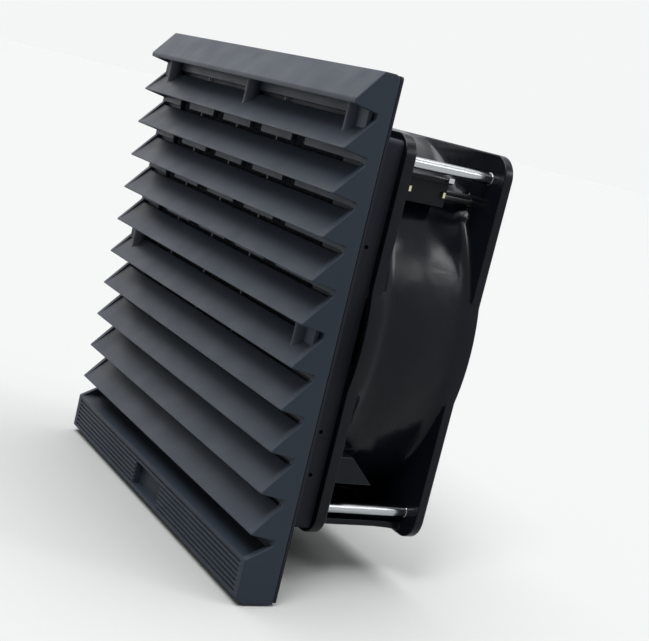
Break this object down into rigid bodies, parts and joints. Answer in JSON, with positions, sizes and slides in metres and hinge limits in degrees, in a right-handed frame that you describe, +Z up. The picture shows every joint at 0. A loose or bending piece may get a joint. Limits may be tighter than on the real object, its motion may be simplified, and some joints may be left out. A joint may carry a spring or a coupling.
{
  "type": "cabinet filter fan",
  "caption": "Square louvred filter fan for an enclosure wall: hinged louvre cover on a clip-in base frame, filter mat behind it, compact axial fan at the back.",
  "frame": {"origin": "centre of the panel cut-out, on the plane that lies on the cabinet panel", "axes": "+X to the right seen from outside the cabinet, +Y into the cabinet, +Z up"},
  "size_m": [0.1484, 0.0659, 0.1484],
  "materials": {
    "cover_plastic": "fine moulded grain, satin",
    "frame_plastic": "fine moulded grain, matt",
    "gasket_foam": "closed-cell foam",
    "filter_fleece": "loose charcoal fleece",
    "spring_steel": "cold rolled",
    "housing_enamel": "gloss black coat on die-casting",
    "polished_steel": "polished, bright zinc",
    "impeller_plastic": "moulded, semi-gloss",
    "zinc_steel": "deep drawn, zinc",
    "cage_alloy": "turned after casting",
    "washer_plastic": "plain",
    "bearing_steel": "ground",
    "cage_brass": "stamped",
    "core_steel": "stacked laminations",
    "copper_wire": "enamelled copper",
    "bobbin_nylon": "natural nylon",
    "terminal_plastic": "moulded",
    "tinned_brass": "stamped, tinned",
    "lead_insulation": "smooth",
    "plate_aluminium": "brushed, bare"
  },
  "bodies": {
    "frame": {"base_frame": "frame_plastic", "panel_gasket": "gasket_foam", "filter_mat": "filter_fleece", "filter_grid": "frame_plastic", "fan_housing": "housing_enamel", "fan_screws": "polished_steel", "spring_washers": "polished_steel", "flat_washers": "polished_steel", "bearing_outer_rings": "bearing_steel", "stator_core": "core_steel", "stator_coils": "copper_wire", "coil_bobbins": "bobbin_nylon", "shading_rings": "copper_wire", "terminal_block": "terminal_plastic", "terminal_tabs": "tinned_brass", "earth_tab": "polished_steel", "motor_leads": "lead_insulation", "rating_plate": "plate_aluminium"},
    "cover": {"louvre_cover": "cover_plastic"},
    "rotor": {"impeller": "impeller_plastic", "rotor_cup": "zinc_steel", "rotor_cage": "cage_alloy", "motor_shaft": "polished_steel", "retaining_ring": "spring_steel", "thrust_washer": "washer_plastic", "preload_spring": "spring_steel", "bearing_inner_rings": "bearing_steel"},
    "balls": {"bearing_balls": "bearing_steel", "ball_cages": "cage_brass"},
    "clip_right_upper": {"clip_right_upper": "spring_steel"},
    "clip_right_lower": {"clip_right_lower": "spring_steel"},
    "clip_left_upper": {"clip_left_upper": "spring_steel"},
    "clip_left_lower": {"clip_left_lower": "spring_steel"}
  },
  "joints": [
    {"name": "cover_hinge", "type": "hinge", "parent": "frame", "child": "cover", "pos_m": [0, -0.0027, 0.07255], "axis": [-1, 0, 0], "range_deg": [0, 70]},
    {"name": "rotor_spin", "type": "hinge", "parent": "frame", "child": "rotor", "pos_m": [0, 0, 0], "axis": [0, 1, 0], "continuous": true},
    {"name": "ball_orbit", "type": "hinge", "parent": "frame", "child": "balls", "pos_m": [0, 0, 0], "axis": [0, 1, 0], "continuous": true},
    {"name": "clip_right_upper_swing", "type": "hinge", "parent": "frame", "child": "clip_right_upper", "pos_m": [0.0606, 0.0052, 0.0275], "axis": [0, 0, -1], "range_deg": [0, 28], "stiffness_Nm_per_rad": 0.02},
    {"name": "clip_right_lower_swing", "type": "hinge", "parent": "frame", "child": "clip_right_lower", "pos_m": [0.0606, 0.0052, -0.0275], "axis": [0, 0, -1], "range_deg": [0, 28], "stiffness_Nm_per_rad": 0.02},
    {"name": "clip_left_upper_swing", "type": "hinge", "parent": "frame", "child": "clip_left_upper", "pos_m": [-0.0606, 0.0052, 0.0275], "axis": [0, 0, 1], "range_deg": [0, 28], "stiffness_Nm_per_rad": 0.02},
    {"name": "clip_left_lower_swing", "type": "hinge", "parent": "frame", "child": "clip_left_lower", "pos_m": [-0.0606, 0.0052, -0.0275], "axis": [0, 0, 1], "range_deg": [0, 28], "stiffness_Nm_per_rad": 0.02}
  ],
  "couplings": [
    {"joint": "ball_orbit", "follows": "rotor_spin", "ratio": 0.3778}
  ]
}
